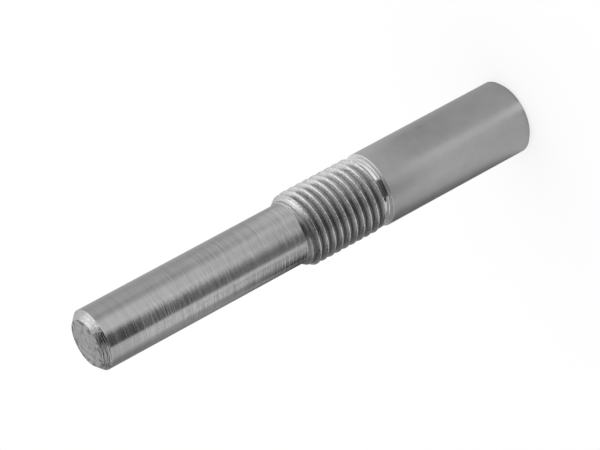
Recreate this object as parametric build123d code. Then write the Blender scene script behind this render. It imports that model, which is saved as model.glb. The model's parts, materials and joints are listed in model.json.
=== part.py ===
from build123d import *
import math
import os

# Threaded pin, turned in one piece from 7/16 in bright steel bar.
# From the bottom up: a plain shank at bar size, a relief groove, a right-hand 7/16-20 UNF thread
# and a longer journal of reduced diameter, faced and chamfered at its free end.
# Frame: origin at the centre of the shank's flat end, +Z along the axis towards the journal.
# All sizes are in millimetres.

INCH = 25.4

# Bar, which gives the shank and the thread's crests their diameter
bar_diameter = 7 / 16 * INCH

# Shank
shank_length = 25.4
shank_chamfer = 0.70            # 45 degree chamfer on the free end
shoulder_break = 0.08           # sharp edge taken off where the shank meets the relief groove

# Thread, from the journal to the relief groove
threads_per_inch = 20
thread_angle = 60.0             # included angle of the V
thread_length = 12.88
thread_entry = 1.40             # axial length of the chamfer on which the thread begins

# Relief groove between thread and shoulder
relief_width = 1.42             # at the height of the crests
relief_undercut = 0.08          # the groove's floor lies this far below the thread's root
relief_corner = 0.15            # radius of the grooving tool's corners

# Journal
journal_diameter = 9.08
journal_length = 34.10
journal_chamfer = 1.00          # 45 degree chamfer on the free end
journal_corner = 0.30           # nose radius of the turning tool, left where it meets the thread

# Threading tool
tool_shoulder_gap = 0.10        # the tool stops this far from the shoulder
tool_overshoot = 0.04           # its profile stands this far proud of the crests

# Derived sizes
bar_radius = bar_diameter / 2
journal_radius = journal_diameter / 2
pitch = INCH / threads_per_inch
flank_slope = math.tan(math.radians(thread_angle / 2))
sharp_v_depth = pitch / 2 / flank_slope
thread_depth = sharp_v_depth * 17 / 24
root_radius = bar_radius - thread_depth
relief_radius = root_radius - relief_undercut
v_width = pitch * 7 / 8         # across the V at the crests, which leaves a crest flat of P/8

# Heights of the sections along the axis
shoulder_z = shank_length
thread_z = shoulder_z + relief_width
journal_z = thread_z + thread_length
top_z = journal_z + journal_length


def turned_blank():
    """The pin before threading: half its outline, spun about Z, with the tools' corner radii."""
    relief_side = (bar_radius - relief_radius) * flank_slope
    with BuildPart() as blank:
        with BuildSketch(Plane.XZ):
            with BuildLine():
                Polyline(
                    (0, 0),
                    (bar_radius - shank_chamfer, 0),
                    (bar_radius, shank_chamfer),
                    (bar_radius, shoulder_z - shoulder_break),
                    (bar_radius - shoulder_break, shoulder_z),
                    (relief_radius, shoulder_z),
                    (relief_radius, thread_z - relief_side),
                    (bar_radius, thread_z),
                    (bar_radius, journal_z - thread_entry),
                    (journal_radius, journal_z),
                    (journal_radius, top_z - journal_chamfer),
                    (journal_radius - journal_chamfer, top_z),
                    (0, top_z),
                    close=True,
                )
            make_face()
        revolve(axis=Axis.Z)
        rings = blank.edges().filter_by(GeomType.CIRCLE)
        fillet(rings.filter_by(lambda ring: math.isclose(ring.radius, relief_radius)), relief_corner)
        journal_foot = rings.filter_by(lambda ring: math.isclose(ring.arc_center.Z, journal_z))
        fillet(journal_foot, journal_corner)
    return blank.part


def thread_cut():
    """The V groove as one solid: the threading tool's profile, swept up the right-hand helix.

    The helix is a chain of whole turns. It begins inside the relief groove and ends out over the
    journal, so both ends of the sweep are in free air, and the thread fades out at the groove and
    at the entry chamfer.
    """
    stop_z = shoulder_z + tool_shoulder_gap + v_width / 2
    turns = math.ceil((journal_z - stop_z + v_width / 2) / pitch)
    turn = Helix(pitch=pitch, height=pitch, radius=root_radius)
    path = Wire([Pos(0, 0, stop_z + pitch * i) * turn for i in range(turns)])
    tool_radius = bar_radius + tool_overshoot
    root_half = v_width / 2 - thread_depth * flank_slope
    tool_half = v_width / 2 + tool_overshoot * flank_slope
    with BuildSketch(Plane.XZ) as tool:
        with BuildLine():
            Polyline(
                (root_radius, stop_z - root_half),
                (tool_radius, stop_z - tool_half),
                (tool_radius, stop_z + tool_half),
                (root_radius, stop_z + root_half),
                close=True,
            )
        make_face()
    return sweep(tool.sketch, path=path, is_frenet=True)


threaded_pin = turned_blank() - thread_cut()
threaded_pin.label = "threaded_pin"

os.makedirs("parts", exist_ok=True)
export_step(threaded_pin, "parts/threaded_pin.step")
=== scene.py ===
"""Looks of a threaded pin, turned from bright steel bar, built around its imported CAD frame."""
import json
import math

import bmesh
import bpy
import numpy as np
from mathutils import Matrix, Vector


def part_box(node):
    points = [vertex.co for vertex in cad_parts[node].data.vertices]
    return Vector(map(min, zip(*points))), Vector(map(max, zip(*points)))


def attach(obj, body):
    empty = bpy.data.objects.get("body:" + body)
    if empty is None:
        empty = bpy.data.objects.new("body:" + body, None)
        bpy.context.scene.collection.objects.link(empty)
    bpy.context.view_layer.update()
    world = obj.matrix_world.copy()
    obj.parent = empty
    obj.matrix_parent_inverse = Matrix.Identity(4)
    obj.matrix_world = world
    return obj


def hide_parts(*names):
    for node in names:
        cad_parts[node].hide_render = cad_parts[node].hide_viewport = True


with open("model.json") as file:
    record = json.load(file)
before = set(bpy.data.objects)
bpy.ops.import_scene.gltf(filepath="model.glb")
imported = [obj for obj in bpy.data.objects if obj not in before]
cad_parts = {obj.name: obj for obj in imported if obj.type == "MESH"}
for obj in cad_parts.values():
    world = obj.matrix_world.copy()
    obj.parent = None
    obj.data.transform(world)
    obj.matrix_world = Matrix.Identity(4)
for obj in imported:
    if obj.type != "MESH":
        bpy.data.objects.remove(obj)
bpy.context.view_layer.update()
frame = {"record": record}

# --- Threaded pin: its shape --------------------------------------------------------------------
# One solid piece of steel. The shank keeps the bar's own skin, a relief groove and a right-hand
# 7/16-20 thread are cut into the bar, and the journal is turned down, chamfered and faced.

MM = 0.001
INCH = 25.4
mounts = {mount["name"]: mount for mount in frame["record"]["mounts"]}
top_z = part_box("threaded_pin")[1].z
bar_radius = mounts["shank"]["dims"]["r_mm"] * MM
journal_radius = mounts["journal"]["dims"]["r_mm"] * MM

shank_length = 25.4 * MM
shank_chamfer = 0.70 * MM
relief_width = 1.42 * MM
relief_undercut = 0.08 * MM
thread_length = 12.88 * MM
thread_entry = 1.40 * MM
journal_chamfer = 1.00 * MM
tool_shoulder_gap = 0.10 * MM
threads_per_inch = 20
pitch = INCH / threads_per_inch * MM

flank_angle = 30
flank_slope = math.tan(math.radians(flank_angle))
thread_depth = pitch / 2 / flank_slope * 17 / 24
root_radius = bar_radius - thread_depth
relief_radius = root_radius - relief_undercut
crest_edge = pitch * 7 / 16
root_edge = crest_edge - thread_depth * flank_slope
thread_z = shank_length + relief_width
journal_z = thread_z + thread_length
tool_stop_z = shank_length + tool_shoulder_gap + crest_edge

# Fillets that the tools leave in corners, and that a file leaves on sharp edges.
shank_end_edge = 0.08 * MM
shank_chamfer_edge = 0.15 * MM
shoulder_edge = 0.09 * MM
relief_corner = 0.15 * MM
thread_end_edge = 0.03 * MM
entry_edge = 0.08 * MM
journal_corner = 0.30 * MM
journal_chamfer_edge = 0.12 * MM
journal_end_edge = 0.10 * MM
root_rounding = 0.05 * MM
crest_rounding = 0.03 * MM
blank_rounding = 0.02 * MM

# Soil and painted shade in the thread: the painted shade is heavier on one side, and lighter on the
# other side towards the shank.
painted_shade_azimuth = math.radians(-30)
painted_shade_one_sided = 0.4
lightened_share = 0.7
lightened_z = (30 * MM, 36 * MM)
blank_share = 0.3

COLUMNS = 160
ROOT_ROWS, FLANK_ROWS, CREST_ROWS = 3, 10, 4
FILLET_POINTS = 9
column_angle = np.arange(COLUMNS) / COLUMNS * 2 * math.pi


def rounded_outline(corners):
    """Half an outline as points (radius, height). A corner (r, z, fillet) becomes the arc of
    that radius which touches both its sides. The arc's centre lies on the bisector, at
    fillet / sin(half angle) from the corner."""
    points = []
    for index, (r, z, fillet) in enumerate(corners):
        here = np.array((r, z))
        if fillet == 0:
            points.append(here[None])
            continue
        back = np.array(corners[index - 1][:2]) - here
        onward = np.array(corners[index + 1][:2]) - here
        back /= np.linalg.norm(back)
        onward /= np.linalg.norm(onward)
        half_angle = math.acos(back @ onward) / 2
        inward = (back + onward) / np.linalg.norm(back + onward)
        centre = here + inward * fillet / math.sin(half_angle)
        touch = fillet / math.tan(half_angle)
        start = here + back * touch - centre
        end = here + onward * touch - centre
        sweep = math.pi - 2 * half_angle
        share = np.linspace(0, 1, FILLET_POINTS)[:, None]
        arc = start * np.sin((1 - share) * sweep) + end * np.sin(share * sweep)
        points.append(centre + arc / math.sin(sweep))
    return np.concatenate(points)


def ring_quads(rows, rise=0):
    """Quads of a grid of rows by COLUMNS that closes round the pin. The last column meets the
    first one rise rows higher up, as a thread does after a turn."""
    row, column = np.meshgrid(np.arange(rows - 1), np.arange(COLUMNS), indexing="ij")
    beside = (column + 1) % COLUMNS
    row_beside = row + np.where(beside == 0, rise, 0)
    inside = row_beside + 1 < rows
    low = row * COLUMNS + column
    low_beside = row_beside * COLUMNS + beside
    return np.stack([low, low_beside, low_beside + COLUMNS, low + COLUMNS], axis=-1)[inside]


def around(radius, height):
    """Points of a grid: column angle a carries (radius cos a, radius sin a, height)."""
    x = radius * np.cos(column_angle)
    y = radius * np.sin(column_angle)
    return np.stack(np.broadcast_arrays(x, y, height), axis=-1).reshape(-1, 3)


def revolved(outline):
    """Surface of revolution of an outline of (radius, height) points about Z, free of soil and
    painted shade.
    """
    no_darkening = np.zeros(len(outline) * COLUMNS)
    return around(outline[:, :1], outline[:, 1:]), ring_quads(len(outline)), no_darkening


def rounded_min(a, b, blend):
    """The smaller of a and b with the crease rounded: (a + b - root((a - b)^2 + blend^2)) / 2."""
    return (a + b - np.sqrt((a - b) ** 2 + blend ** 2)) / 2


def eased(start, end, steps):
    """Steps from start towards end, without the end, crowded at both ends as a cosine is."""
    return start + (end - start) * (1 - np.cos(np.arange(steps) / steps * math.pi)) / 2


def threaded(blank, low_z, high_z):
    """Thread: one pitch of the V's profile is stacked turn after turn, and column angle a lifts
    it by pitch * a / 2 pi, so crests and roots run along the rows. The radius is the smaller of
    the V's and the blank's at that height. Heights are held between low_z and high_z.
    The third result is the depth that counts for soil and painted shade: how far the surface lies
    below a mean of the bar and the blank, more on the side of heavier painted shade and less on
    the lightened side towards the shank."""
    half = np.concatenate([
        eased(0, root_edge, ROOT_ROWS),
        eased(root_edge, crest_edge, FLANK_ROWS),
        eased(crest_edge, pitch / 2, CREST_ROWS),
    ])
    profile = np.concatenate([half, [pitch / 2], pitch - half[:0:-1]])
    first_turn = math.floor((low_z - tool_stop_z) / pitch) - 2
    last_turn = math.ceil((high_z - tool_stop_z) / pitch) + 1
    turn = np.arange(first_turn, last_turn + 1)[:, None]
    row_z = (tool_stop_z + turn * pitch + profile).reshape(-1, 1)
    height = np.clip(row_z + pitch * column_angle / (2 * math.pi), low_z, high_z)
    from_root = np.tile(np.minimum(profile, pitch - profile), len(turn))[:, None]
    flank = root_radius - rounded_min(0, (root_edge - from_root) / flank_slope, root_rounding)
    v_radius = rounded_min(flank, bar_radius, crest_rounding)
    blank_radius = np.interp(height, blank[:, 1], blank[:, 0])
    cut = rounded_min(v_radius, blank_radius, blank_rounding)
    at_end = (height == low_z) | (height == high_z)
    radius = np.where(at_end, blank_radius, cut)
    depth = blank_share * blank_radius + (1 - blank_share) * bar_radius - radius
    # Painted shade: the darkening is heavier towards one side, and lighter on the other side
    # towards the shank.
    toward_painted_shade = np.cos(column_angle - painted_shade_azimuth)
    lightened = np.interp(height, lightened_z, (lightened_share, 0)) * np.maximum(-toward_painted_shade, 0)
    darkening_depth = depth * (1 + painted_shade_one_sided * toward_painted_shade) * (1 - lightened)
    return around(radius, height), ring_quads(len(row_z), rise=len(profile)), darkening_depth.ravel()


relief_side = (bar_radius - relief_radius) * flank_slope
# The three surfaces below meet at these heights, on the relief's floor and on the journal.
relief_floor_z = shank_length + 0.4 * MM
journal_foot_z = journal_z + 0.3 * MM
shank_outline = rounded_outline([
    (0, 0, 0),
    (bar_radius - shank_chamfer, 0, shank_end_edge),
    (bar_radius, shank_chamfer, shank_chamfer_edge),
    (bar_radius, shank_length, shoulder_edge),
    (relief_radius, shank_length, relief_corner),
    (relief_radius, relief_floor_z, 0),
])
thread_blank = rounded_outline([
    (relief_radius, relief_floor_z, 0),
    (relief_radius, thread_z - relief_side, relief_corner),
    (bar_radius, thread_z, thread_end_edge),
    (bar_radius, journal_z - thread_entry, entry_edge),
    (journal_radius, journal_z, journal_corner),
    (journal_radius, journal_foot_z, 0),
])
journal_outline = rounded_outline([
    (journal_radius, journal_foot_z, 0),
    (journal_radius, top_z - journal_chamfer, journal_chamfer_edge),
    (journal_radius - journal_chamfer, top_z, journal_end_edge),
    (0, top_z, 0),
])

surfaces = [
    revolved(shank_outline),
    threaded(thread_blank, relief_floor_z, journal_foot_z),
    revolved(journal_outline),
]
all_points, all_quads, all_depths = [np.concatenate(part) for part in zip(*surfaces)]
starts = np.cumsum([0] + [len(points) for points, _, _ in surfaces[:-1]])
all_quads += np.repeat(starts, [len(quads) for _, quads, _ in surfaces])[:, None]

mesh = bpy.data.meshes.new("threaded_pin_turned")
mesh.from_pydata(all_points.tolist(), [], all_quads.tolist())
depth_layer = mesh.attributes.new("groove_depth", "FLOAT", "POINT")
depth_layer.data.foreach_set("value", all_depths.astype(np.float32))
weld_distance = 1e-8
welded = bmesh.new()
welded.from_mesh(mesh)
bmesh.ops.remove_doubles(welded, verts=welded.verts, dist=weld_distance)
welded.to_mesh(mesh)
welded.free()
mesh.shade_smooth()
pin = bpy.data.objects.new("threaded_pin_turned", mesh)
bpy.context.scene.collection.objects.link(pin)
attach(pin, "root")
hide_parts("threaded_pin")

# --- Threaded pin: its finishes -----------------------------------------------------------------
# Bare steel throughout, never plated. Every cut surface carries fine tool marks that run round the
# axis, the thread's grooves hold soil with painted shade, and the relief groove's floor carries a
# painted dark reflection. The shank has the duller, grained skin of drawn bar.


class Wire:
    """A node's output in a shader. Python's operators on it add the Math nodes they stand for."""

    def __init__(self, tree, socket=None):
        self.tree = tree
        self.socket = socket

    def node(self, kind, settings=None, inputs=None, output=0):
        """A new node of that kind, with its settings and then its inputs: values or wires."""
        made = self.tree.nodes.new(kind)
        for name, value in (settings or {}).items():
            setattr(made, name, value)
        for name, value in (inputs or {}).items():
            if isinstance(value, Wire):
                self.tree.links.new(value.socket, made.inputs[name])
            else:
                made.inputs[name].default_value = value
        return Wire(self.tree, None if output is None else made.outputs[output])

    def math(self, operation, *values):
        return self.node("ShaderNodeMath", {"operation": operation}, dict(enumerate(values)))

    def __add__(self, other):
        return self.math("ADD", self, other)

    def __sub__(self, other):
        return self.math("SUBTRACT", self, other)

    def __rsub__(self, other):
        return self.math("SUBTRACT", other, self)

    def __mul__(self, other):
        return self.math("MULTIPLY", self, other)

    __radd__ = __add__
    __rmul__ = __mul__


def turned_coordinates(tree):
    """The object's own coordinates, and the distance from the axis, as wires."""
    here = Wire(tree).node("ShaderNodeTexCoord", output="Object")
    across = here.node("ShaderNodeVectorMath", {"operation": "MULTIPLY"}, {0: here, 1: (1, 1, 0)})
    radius = here.node("ShaderNodeVectorMath", {"operation": "LENGTH"}, {0: across}, output="Value")
    return here, radius


def noise(wire, scale, detail=2.0, stretch=(1, 1, 1)):
    """Noise of about one ripple in 1 / scale metres, stretched by axis; mean 0.5."""
    mapped = wire.node("ShaderNodeVectorMath", {"operation": "MULTIPLY"}, {0: wire, 1: stretch})
    return wire.node(
        "ShaderNodeTexNoise", {}, {"Vector": mapped, "Scale": scale, "Detail": detail}, output="Fac"
    )


def ramped(wire, low, high, at_low, at_high):
    """A wire that eases from at_low to at_high while the given one goes from low to high."""
    return wire.node("ShaderNodeMapRange", {"interpolation_type": "SMOOTHSTEP"}, {
        "Value": wire, "From Min": low, "From Max": high, "To Min": at_low, "To Max": at_high,
    })


def shaded(factor, dark, light):
    """A colour between two: a Mix node from dark at factor 0 to light at factor 1."""
    inputs = {0: factor, 6: dark, 7: light}
    return factor.node("ShaderNodeMix", {"data_type": "RGBA"}, inputs, output=2)


def grey(level):
    """A grey of bare steel, a trace cooler than neutral."""
    return (level, level, level * 1.01, 1)


# The grey of soil, also used for painted shade in the thread and a painted dark reflection in the
# relief groove.
SOIL_AND_PAINTED_SHADE = grey(0.17)
darkened_dullness = 0.12
quarter_turn = 0.25


def steel(name, dark, light, roughness, roughness_spread, marks, mark_height, anisotropy):
    """Bare steel between two greys. marks makes the wires of its height pattern, of its tone and of
    where it is clean of soil and painted shade, or None where it is clean all over; mark_height is
    the pattern's depth in metres. The anisotropy is turned by a quarter, so that gloss spreads
    across marks that run round Z."""
    material = bpy.data.materials.new(name)
    material.use_nodes = True
    tree = material.node_tree
    surface = tree.nodes["Principled BSDF"]
    here, radius = turned_coordinates(tree)
    pattern, tone, clean_and_unshaded = marks(here, radius)
    shade = shaded(tone, grey(dark), grey(light))
    rough = roughness + (tone - 0.5) * roughness_spread
    if clean_and_unshaded is not None:
        shade = shaded(clean_and_unshaded, SOIL_AND_PAINTED_SHADE, shade)
        rough = rough + (1 - clean_and_unshaded) * darkened_dullness
    tree.links.new(shade.socket, surface.inputs["Base Color"])
    tree.links.new(rough.socket, surface.inputs["Roughness"])
    bump = here.node("ShaderNodeBump", {}, {
        "Height": pattern, "Distance": mark_height, "Strength": 1.0,
    })
    tree.links.new(bump.socket, surface.inputs["Normal"])
    surface.inputs["Metallic"].default_value = 1.0
    surface.inputs["Anisotropic"].default_value = anisotropy
    surface.inputs["Anisotropic Rotation"].default_value = quarter_turn
    return material


def rings_along_axis(here, radius):
    """Tool marks on a cylinder: noise that is fine along Z and slow round it. They are shallower
    on the last few millimetres, where the tool came in."""
    feed = noise(here, 1.0, 1.0, (130, 130, 6800))
    uneven = noise(here, 1.0, 2.0, (90, 90, 1500))
    height = here.node("ShaderNodeSeparateXYZ", {}, {0: here}, output="Z")
    deep = ramped(height, 64 * MM, 71 * MM, 1.0, 0.3)
    return (feed + uneven * 0.8) * deep, feed * 0.5 + uneven * 0.5, None


# A painted dark reflection on the relief groove's floor, on the side that faces the camera.
dark_reflection_azimuth = math.radians(51)
dark_reflection_centre = (
    relief_radius * math.cos(dark_reflection_azimuth),
    relief_radius * math.sin(dark_reflection_azimuth),
    shank_length + 0.3 * MM,
)


def relief_marks(here, radius):
    """Tool marks of the relief groove, with one patch of painted dark reflection on its floor."""
    height, tone, _ = rings_along_axis(here, radius)
    ends = {0: here, 1: dark_reflection_centre}
    away = here.node("ShaderNodeVectorMath", {"operation": "DISTANCE"}, ends, output="Value")
    # Painted dark reflection: the soil grey in a patch round one point of the floor.
    return height, tone, ramped(away, 1.1 * MM, 1.5 * MM, 0.0, 1.0)


def chamfer_marks(here, radius):
    """Coarse tool marks of a hand-fed chamfer, broken up here and there."""
    broken = noise(here, 1.0, 3.0, (1500, 1500, 4000))
    feed = noise(here, 1.0, 1.0, (260, 260, 6500))
    return broken * 0.7 + feed, broken * 0.5 + feed * 0.5, None


def thread_marks(here, radius):
    """Tool marks of a thread: grit everywhere, and soil with painted shade that darkens it towards
    the root, the painted shade heavier on one side.
    """
    fine = noise(here, 1.0, 3.0, (900, 900, 5000))
    grit = noise(here, 3800.0, 4.0)
    depth = here.node("ShaderNodeAttribute", {"attribute_name": "groove_depth"}, output="Fac")
    # Soil and painted shade: darker where the surface lies deeper, heavier on one side.
    clean_and_unshaded = ramped(depth + (grit - 0.5) * 1.1e-3, 0.05 * MM, 0.95 * MM, 1.0, 0.04)
    return fine * 0.6 + grit, (grit - 0.5) * 2.2 + fine, clean_and_unshaded


def rings_on_face(here, radius):
    """Facing marks: noise that is fine along the radius and slow round it, with dark pits that
    crowd towards the rim."""
    ringed = here.node("ShaderNodeCombineXYZ", {}, {0: radius * 2600, 1: 0.0, 2: 0.0})
    slow = {0: here, 1: (260, 260, 0)}
    drift = here.node("ShaderNodeVectorMath", {"operation": "MULTIPLY"}, slow)
    place = here.node("ShaderNodeVectorMath", {"operation": "ADD"}, {0: ringed, 1: drift})
    fine = {"Vector": place, "Scale": 1.0, "Detail": 3.0}
    rings = here.node("ShaderNodeTexNoise", {}, fine, output="Fac")
    blotch = noise(here, 1300.0, 4.0)
    crowded = ramped(radius, 2.2 * MM, 3.5 * MM, 0.0, 0.13)
    clean_and_unshaded = ramped(blotch - crowded, 0.31, 0.43, 0.25, 1.0)
    return rings + blotch * 1.5, (rings + blotch - 1.0) * 1.6 + 0.5, clean_and_unshaded


def grain(here, radius):
    """Skin of drawn bar: a fine grain, a little longer along the bar than across it."""
    fine = noise(here, 1.0, 3.0, (5200, 5200, 2600))
    broad = noise(here, 600.0, 2.0)
    return fine + broad * 0.5, fine * 0.4 + broad * 0.6, None


# Each finish: its darkest and lightest grey, roughness and its spread, marks, their height in
# metres, and anisotropy.
finishes = {
    "shank_skin": (0.38, 0.52, 0.40, 0.20, grain, 8e-6, 0.0),
    "relief_cut": (0.60, 0.84, 0.07, 0.04, relief_marks, 1e-6, 0.2),
    "shoulder_faced": (0.88, 0.96, 0.72, 0.10, rings_along_axis, 1e-6, 0.0),
    "thread_cut": (0.42, 0.80, 0.26, 0.20, thread_marks, 22e-6, 0.3),
    "journal_turned": (0.38, 0.57, 0.18, 0.14, rings_along_axis, 28e-6, 0.4),
    "chamfer_cut": (0.32, 0.60, 0.18, 0.16, chamfer_marks, 110e-6, 0.3),
    "faced_end": (0.23, 0.52, 0.34, 0.20, rings_on_face, 30e-6, 0.3),
}
order = list(finishes)
for name, values in finishes.items():
    mesh.materials.append(steel(name, *values))

centres = np.empty(len(mesh.polygons) * 3)
normals = np.empty(len(mesh.polygons) * 3)
mesh.polygons.foreach_get("center", centres)
mesh.polygons.foreach_get("normal", normals)
face_z = centres.reshape(-1, 3)[:, 2]
facing = normals.reshape(-1, 3)[:, 2]

# Faces are told apart by height, and flat ones by how far they face along the axis.
end_depth = 0.1 * MM
shoulder_depth = 0.06 * MM
shoulder_slack = 0.01 * MM
end_facing, shoulder_facing = 0.95, 0.9
at_an_end = (face_z < end_depth) | (face_z > top_z - end_depth)
is_end = (np.abs(facing) > end_facing) & at_an_end
is_chamfer = (face_z < shank_chamfer) | (face_z > top_z - journal_chamfer)
is_journal = face_z > journal_z
is_shank = face_z < shank_length - shoulder_depth
is_shoulder = (face_z < shank_length + shoulder_slack) & (facing > shoulder_facing)
is_relief = face_z < thread_z - relief_side
finish_index = np.select(
    [is_end, is_chamfer, is_journal, is_shank, is_shoulder, is_relief],
    [order.index(name) for name in (
        "faced_end", "chamfer_cut", "journal_turned", "shank_skin", "shoulder_faced", "relief_cut",
    )],
    order.index("thread_cut"),
)
mesh.polygons.foreach_set("material_index", finish_index.astype(np.int32))
mesh.update()

# --- Floor --------------------------------------------------------------------------------------
# A plain white sheet under the pin. Part of its brightness is its own, and the rest is light that
# the pin can shade, so a soft shadow stays at the pin's foot.

floor_half = 3.0
shaded_share = 0.25


def sheet_mesh(name, points, quads):
    """A mesh object of those points and quads, kept out of the pin as part of the studio."""
    sheet = bpy.data.meshes.new(name)
    sheet.from_pydata(points.tolist(), [], quads.tolist())
    made = bpy.data.objects.new(name, sheet)
    bpy.context.scene.collection.objects.link(made)
    return made


def seen_directly(start):
    """1 for rays that come from the camera or off a glossy or clear surface, 0 for the rest."""
    rays = [start.node("ShaderNodeLightPath", output=name) for name in
            ("Is Camera Ray", "Is Glossy Ray", "Is Transmission Ray")]
    return rays[0].math("MAXIMUM", rays[0].math("MAXIMUM", rays[0], rays[1]), rays[2])


def empty_shader(name):
    """A new material with no nodes in it, and a wire to start them from."""
    material = bpy.data.materials.new(name)
    material.use_nodes = True
    material.node_tree.nodes.clear()
    return material, Wire(material.node_tree)


floor_points = np.array([(-1, -1, 0), (1, -1, 0), (1, 1, 0), (-1, 1, 0)]) * floor_half
floor = sheet_mesh("floor", floor_points, np.array([(0, 1, 2, 3)]))
floor_white, start = empty_shader("floor_white")
matt = start.node("ShaderNodeBsdfDiffuse", {}, {"Color": (0.98, 0.98, 0.98, 1)})
own = start.node("ShaderNodeEmission", {}, {"Color": (1, 1, 1, 1), "Strength": 1.0})
share = seen_directly(start) * (1 - shaded_share)
both = start.node("ShaderNodeMixShader", {}, {0: share, 1: matt, 2: own})
start.node("ShaderNodeOutputMaterial", {}, {"Surface": both}, output=None)
floor.data.materials.append(floor_white)

# --- Camera -------------------------------------------------------------------------------------
# It looks down on the journal's end at 26 degrees, from far enough to keep the pin's sides nearly
# parallel, and is rolled so that the pin lies across its view.

camera_azimuth = math.radians(59.5)
camera_elevation = math.radians(25.79)
camera_roll = math.radians(28.435)
camera_distance = 0.4872
aim_height = 37.447 * MM
aim_aside = 0.3141 * MM

outward = Vector((math.cos(camera_azimuth), math.sin(camera_azimuth), 0))
beside = Vector((math.sin(camera_azimuth), -math.cos(camera_azimuth), 0))
upright = Vector((0, 0, 1))
to_camera = math.cos(camera_elevation) * outward + math.sin(camera_elevation) * upright
along = math.sin(camera_elevation) * outward - math.cos(camera_elevation) * upright
right = math.cos(camera_roll) * along + math.sin(camera_roll) * beside
up = math.sin(camera_roll) * along - math.cos(camera_roll) * beside
aim = upright * aim_height - beside * aim_aside

camera = bpy.data.objects.new("camera", bpy.data.cameras.new("camera"))
bpy.context.scene.collection.objects.link(camera)
bpy.context.scene.camera = camera
camera.data.sensor_width = 36.0
camera.data.lens = 210.8
camera.matrix_world = (
    Matrix.Translation(aim + to_camera * camera_distance)
    @ Matrix((right, up, to_camera)).transposed().to_4x4()
)

# --- Studio -------------------------------------------------------------------------------------
# White all round, one soft lamp, and two grey cards that only the steel's reflections see: a
# graded sheet lies on the floor and a graded dome hangs over the pin.

OPEN = math.inf


def bearing(degrees):
    """Azimuth of a direction that many degrees from the camera's, clockwise seen from above."""
    return camera_azimuth - np.radians(degrees)


def patch(value, low, high, soft):
    """1 between low and high and 0 outside, with edges soft wide: a product of two eased steps.
    OPEN leaves a side without an edge."""
    def step(x):
        x = np.clip(x, 0, 1)
        return x * x * (3 - 2 * x)
    return step((value - low) / soft + 0.5) * step((high - value) / soft + 0.5)


def graded_card(name, points, quads, tone):
    """A card whose brightness at each point is tone, seen by nothing but reflections."""
    card = sheet_mesh(name, points, quads)
    shades = card.data.attributes.new("tone", "FLOAT", "POINT")
    shades.data.foreach_set("value", tone.ravel().astype(np.float32))
    card.visible_camera = False
    card.visible_diffuse = False
    card.visible_shadow = False
    card.visible_transmission = False
    material, start = empty_shader(name)
    read = start.node("ShaderNodeAttribute", {"attribute_name": "tone"}, output="Fac")
    glow = start.node("ShaderNodeEmission", {}, {"Color": (1, 1, 1, 1), "Strength": read})
    start.node("ShaderNodeOutputMaterial", {}, {"Surface": glow}, output=None)
    card.data.materials.append(material)


def grid_quads(rows, columns):
    """Quads of a grid of rows by columns points."""
    corner = np.arange((rows - 1) * columns).reshape(rows - 1, columns)[:, :-1].ravel()
    return np.stack([corner, corner + 1, corner + columns + 1, corner + columns], axis=-1)


turn_steps = 361
turned = np.linspace(-180, 180, turn_steps)
reach = np.concatenate([
    np.linspace(5, 60, 111), np.linspace(61, 200, 100), np.linspace(220, 900, 30),
])
side, distance = np.meshgrid(turned, reach)
azimuth = bearing(side)
card_height = 0.1 * MM
low_points = np.stack([
    distance * MM * np.cos(azimuth),
    distance * MM * np.sin(azimuth),
    np.full_like(side, card_height),
], axis=-1).reshape(-1, 3)

# The floor is graded by the distance in millimetres from the axis, and by the side, in degrees
# from the camera's bearing. The higher a part of the pin, the farther off the floor it mirrors,
# so each of these zones is named for the part that mirrors it.
foot_zone = patch(distance, -OPEN, 6.2, 0.8)
rim_zone = patch(distance, 34, 50, 7)
relief_zone = patch(distance, 51, 60, 3)
thread_zone = patch(distance, 60, 86, 3)
past_shank = patch(distance, 57, OPEN, 4)
outer_journal = patch(distance, 112, OPEN, 12)
journal_end = patch(distance, 158, OPEN, 34)
dark_band = (0.31 + 0.01 * outer_journal + 0.40 * journal_end) * patch(distance, -OPEN, 270, 80)
plain_floor = 0.62
floor_tone = (
    plain_floor
    # Shank: its foot's chamfer, a highlight, and the zone below its rim.
    - 0.26 * foot_zone
    + 0.42 * patch(side, -11, 4, 8) * (1 - past_shank)
    + 0.08 * patch(side, 12, 95, 14) * (1 - past_shank)
    - 0.05 * patch(side, -130, -40, 30) * (1 - past_shank)
    - 0.46 * patch(side, -110, -20, 20) * rim_zone
    + 0.66 * patch(side, -14, 64, 14) * rim_zone
    # Relief groove: a bright part beside a dark block.
    + 0.50 * patch(side, -150, -20, 8) * relief_zone
    - 0.80 * patch(side, -14, 62, 8) * relief_zone
    # Thread: bright towards one side and dark towards the other.
    + 0.55 * patch(side, -125, -36, 24) * thread_zone
    - 0.14 * patch(side, -40, 40, 14) * thread_zone
    - 0.34 * patch(side, 74, 180, 20) * thread_zone
    # Thread's entry and the journal's foot.
    - 0.12 * patch(side, -150, -70, 20) * patch(distance, 86, 97, 5)
    + 0.34 * patch(side, 54, 84, 12) * patch(distance, 84, 93, 6)
    - 0.56 * patch(side, 66, 114, 22) * patch(distance, 94, 114, 8)
    + 0.18 * patch(side, 106, 142, 16) * patch(distance, 88, 150, 10)
    # Journal: a light middle, a dark band and a lighter one beside it.
    + (0.05 + 0.21 * outer_journal) * patch(side, -50, 7, 36) * past_shank
    + (0.32 - 0.30 * journal_end) * patch(side, -11, 12, 10) * patch(distance, 111, OPEN, 8)
    - 0.12 * patch(side, -68, -46, 14) * past_shank
    + 0.06 * patch(side, -102, -72, 14) * past_shank
    - 0.06 * patch(side, -170, -68, 20) * past_shank
    - dark_band * past_shank
    * patch(side, 21 - 19 * journal_end, 180, 26) * patch(side, -180, 53, 7)
    + (0.08 + 0.54 * outer_journal - 0.58 * journal_end) * patch(side, 57, 98, 14) * past_shank
    # The whole pin, darker towards the lower edge that the camera sees.
    - (0.42 - 0.10 * outer_journal) * patch(side, 108, 182, 36)
)
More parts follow.
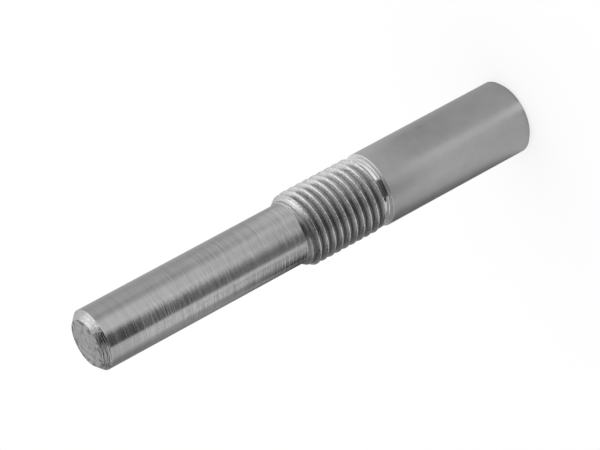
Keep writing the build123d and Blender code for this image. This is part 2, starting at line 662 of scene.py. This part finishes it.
DARKEST, BRIGHTEST = 0.02, 2
floor_tone = np.clip(floor_tone, DARKEST, BRIGHTEST)
graded_card("card_on_floor", low_points, grid_quads(len(reach), turn_steps), floor_tone)

lift_steps = 61
lifted = np.linspace(3, 90, lift_steps)
side, lift = np.meshgrid(turned, lifted)
azimuth = bearing(side)
dome_radius = 0.9
high_points = dome_radius * np.stack([
    np.cos(np.radians(lift)) * np.cos(azimuth),
    np.cos(np.radians(lift)) * np.sin(azimuth),
    np.sin(np.radians(lift)),
], axis=-1).reshape(-1, 3)
# The dome is graded by its lift above the horizon and by the side, both in degrees.
chamfer_arc = patch(lift - (84 + 0.41 * side), -6, 6, 8) * patch(side, -118, -38, 14)
high_up = patch(lift, 60, OPEN, 12)
plain_dome = 0.85
dome_tone = (
    plain_dome
    # Overhead, and a bright arc that the journal's chamfer mirrors.
    - 0.45 * patch(lift, 62, OPEN, 14)
    + 0.60 * chamfer_arc
    # Towards the camera: a dark block, and beside it a low bright strip for the shoulder.
    - 0.80 * patch(side, -16, 48, 10) * patch(lift, -OPEN, 74, 8)
    + 0.85 * patch(side, -90, -18, 10) * patch(lift, 14, 31, 6)
    - 0.50 * patch(side, -96, -16, 14) * patch(lift, 32, 48, 8)
    # One side bright and the other dark.
    + (0.30 + 0.55 * high_up) * patch(side, -150, -92, 30) * patch(lift, 25, 82, 16)
    - 0.30 * patch(side, 60, 165, 26) * patch(lift, 34, 75, 20)
    - 0.25 * patch(side, 114, 175, 14) * patch(lift, 38, 75, 14)
    - 0.60 * patch(side, 130, 170, 12) * patch(lift, 17, 54, 12)
    - 0.60 * patch(side, 108, 172, 14) * patch(lift, -OPEN, 17, 8)
)
dome_tone = np.clip(dome_tone, DARKEST, BRIGHTEST)
graded_card("card_overhead", high_points, grid_quads(lift_steps, turn_steps), dome_tone)

lamp_distance = 0.5
lamp_side = -85
lamp = bpy.data.objects.new("softbox", bpy.data.lights.new("softbox", "AREA"))
lamp.data.shape = "RECTANGLE"
lamp.data.size = 0.35
lamp.data.size_y = 0.30
lamp.data.energy = 0.16
lamp_azimuth = bearing(lamp_side)
lamp_elevation = math.radians(52)
lamp_direction = Vector((
    math.cos(lamp_elevation) * math.cos(lamp_azimuth),
    math.cos(lamp_elevation) * math.sin(lamp_azimuth),
    math.sin(lamp_elevation),
))
lamp.location = upright * aim_height + lamp_direction * lamp_distance
lamp.rotation_euler = lamp_direction.to_track_quat("Z", "Y").to_euler()
bpy.context.scene.collection.objects.link(lamp)

sky = bpy.data.worlds.new("studio")
sky.use_nodes = True
sky.node_tree.nodes["Background"].inputs["Color"].default_value = (1, 1, 1, 1)
sky.node_tree.nodes["Background"].inputs["Strength"].default_value = 1.0
bpy.context.scene.world = sky
bpy.context.scene.view_settings.view_transform = "Standard"
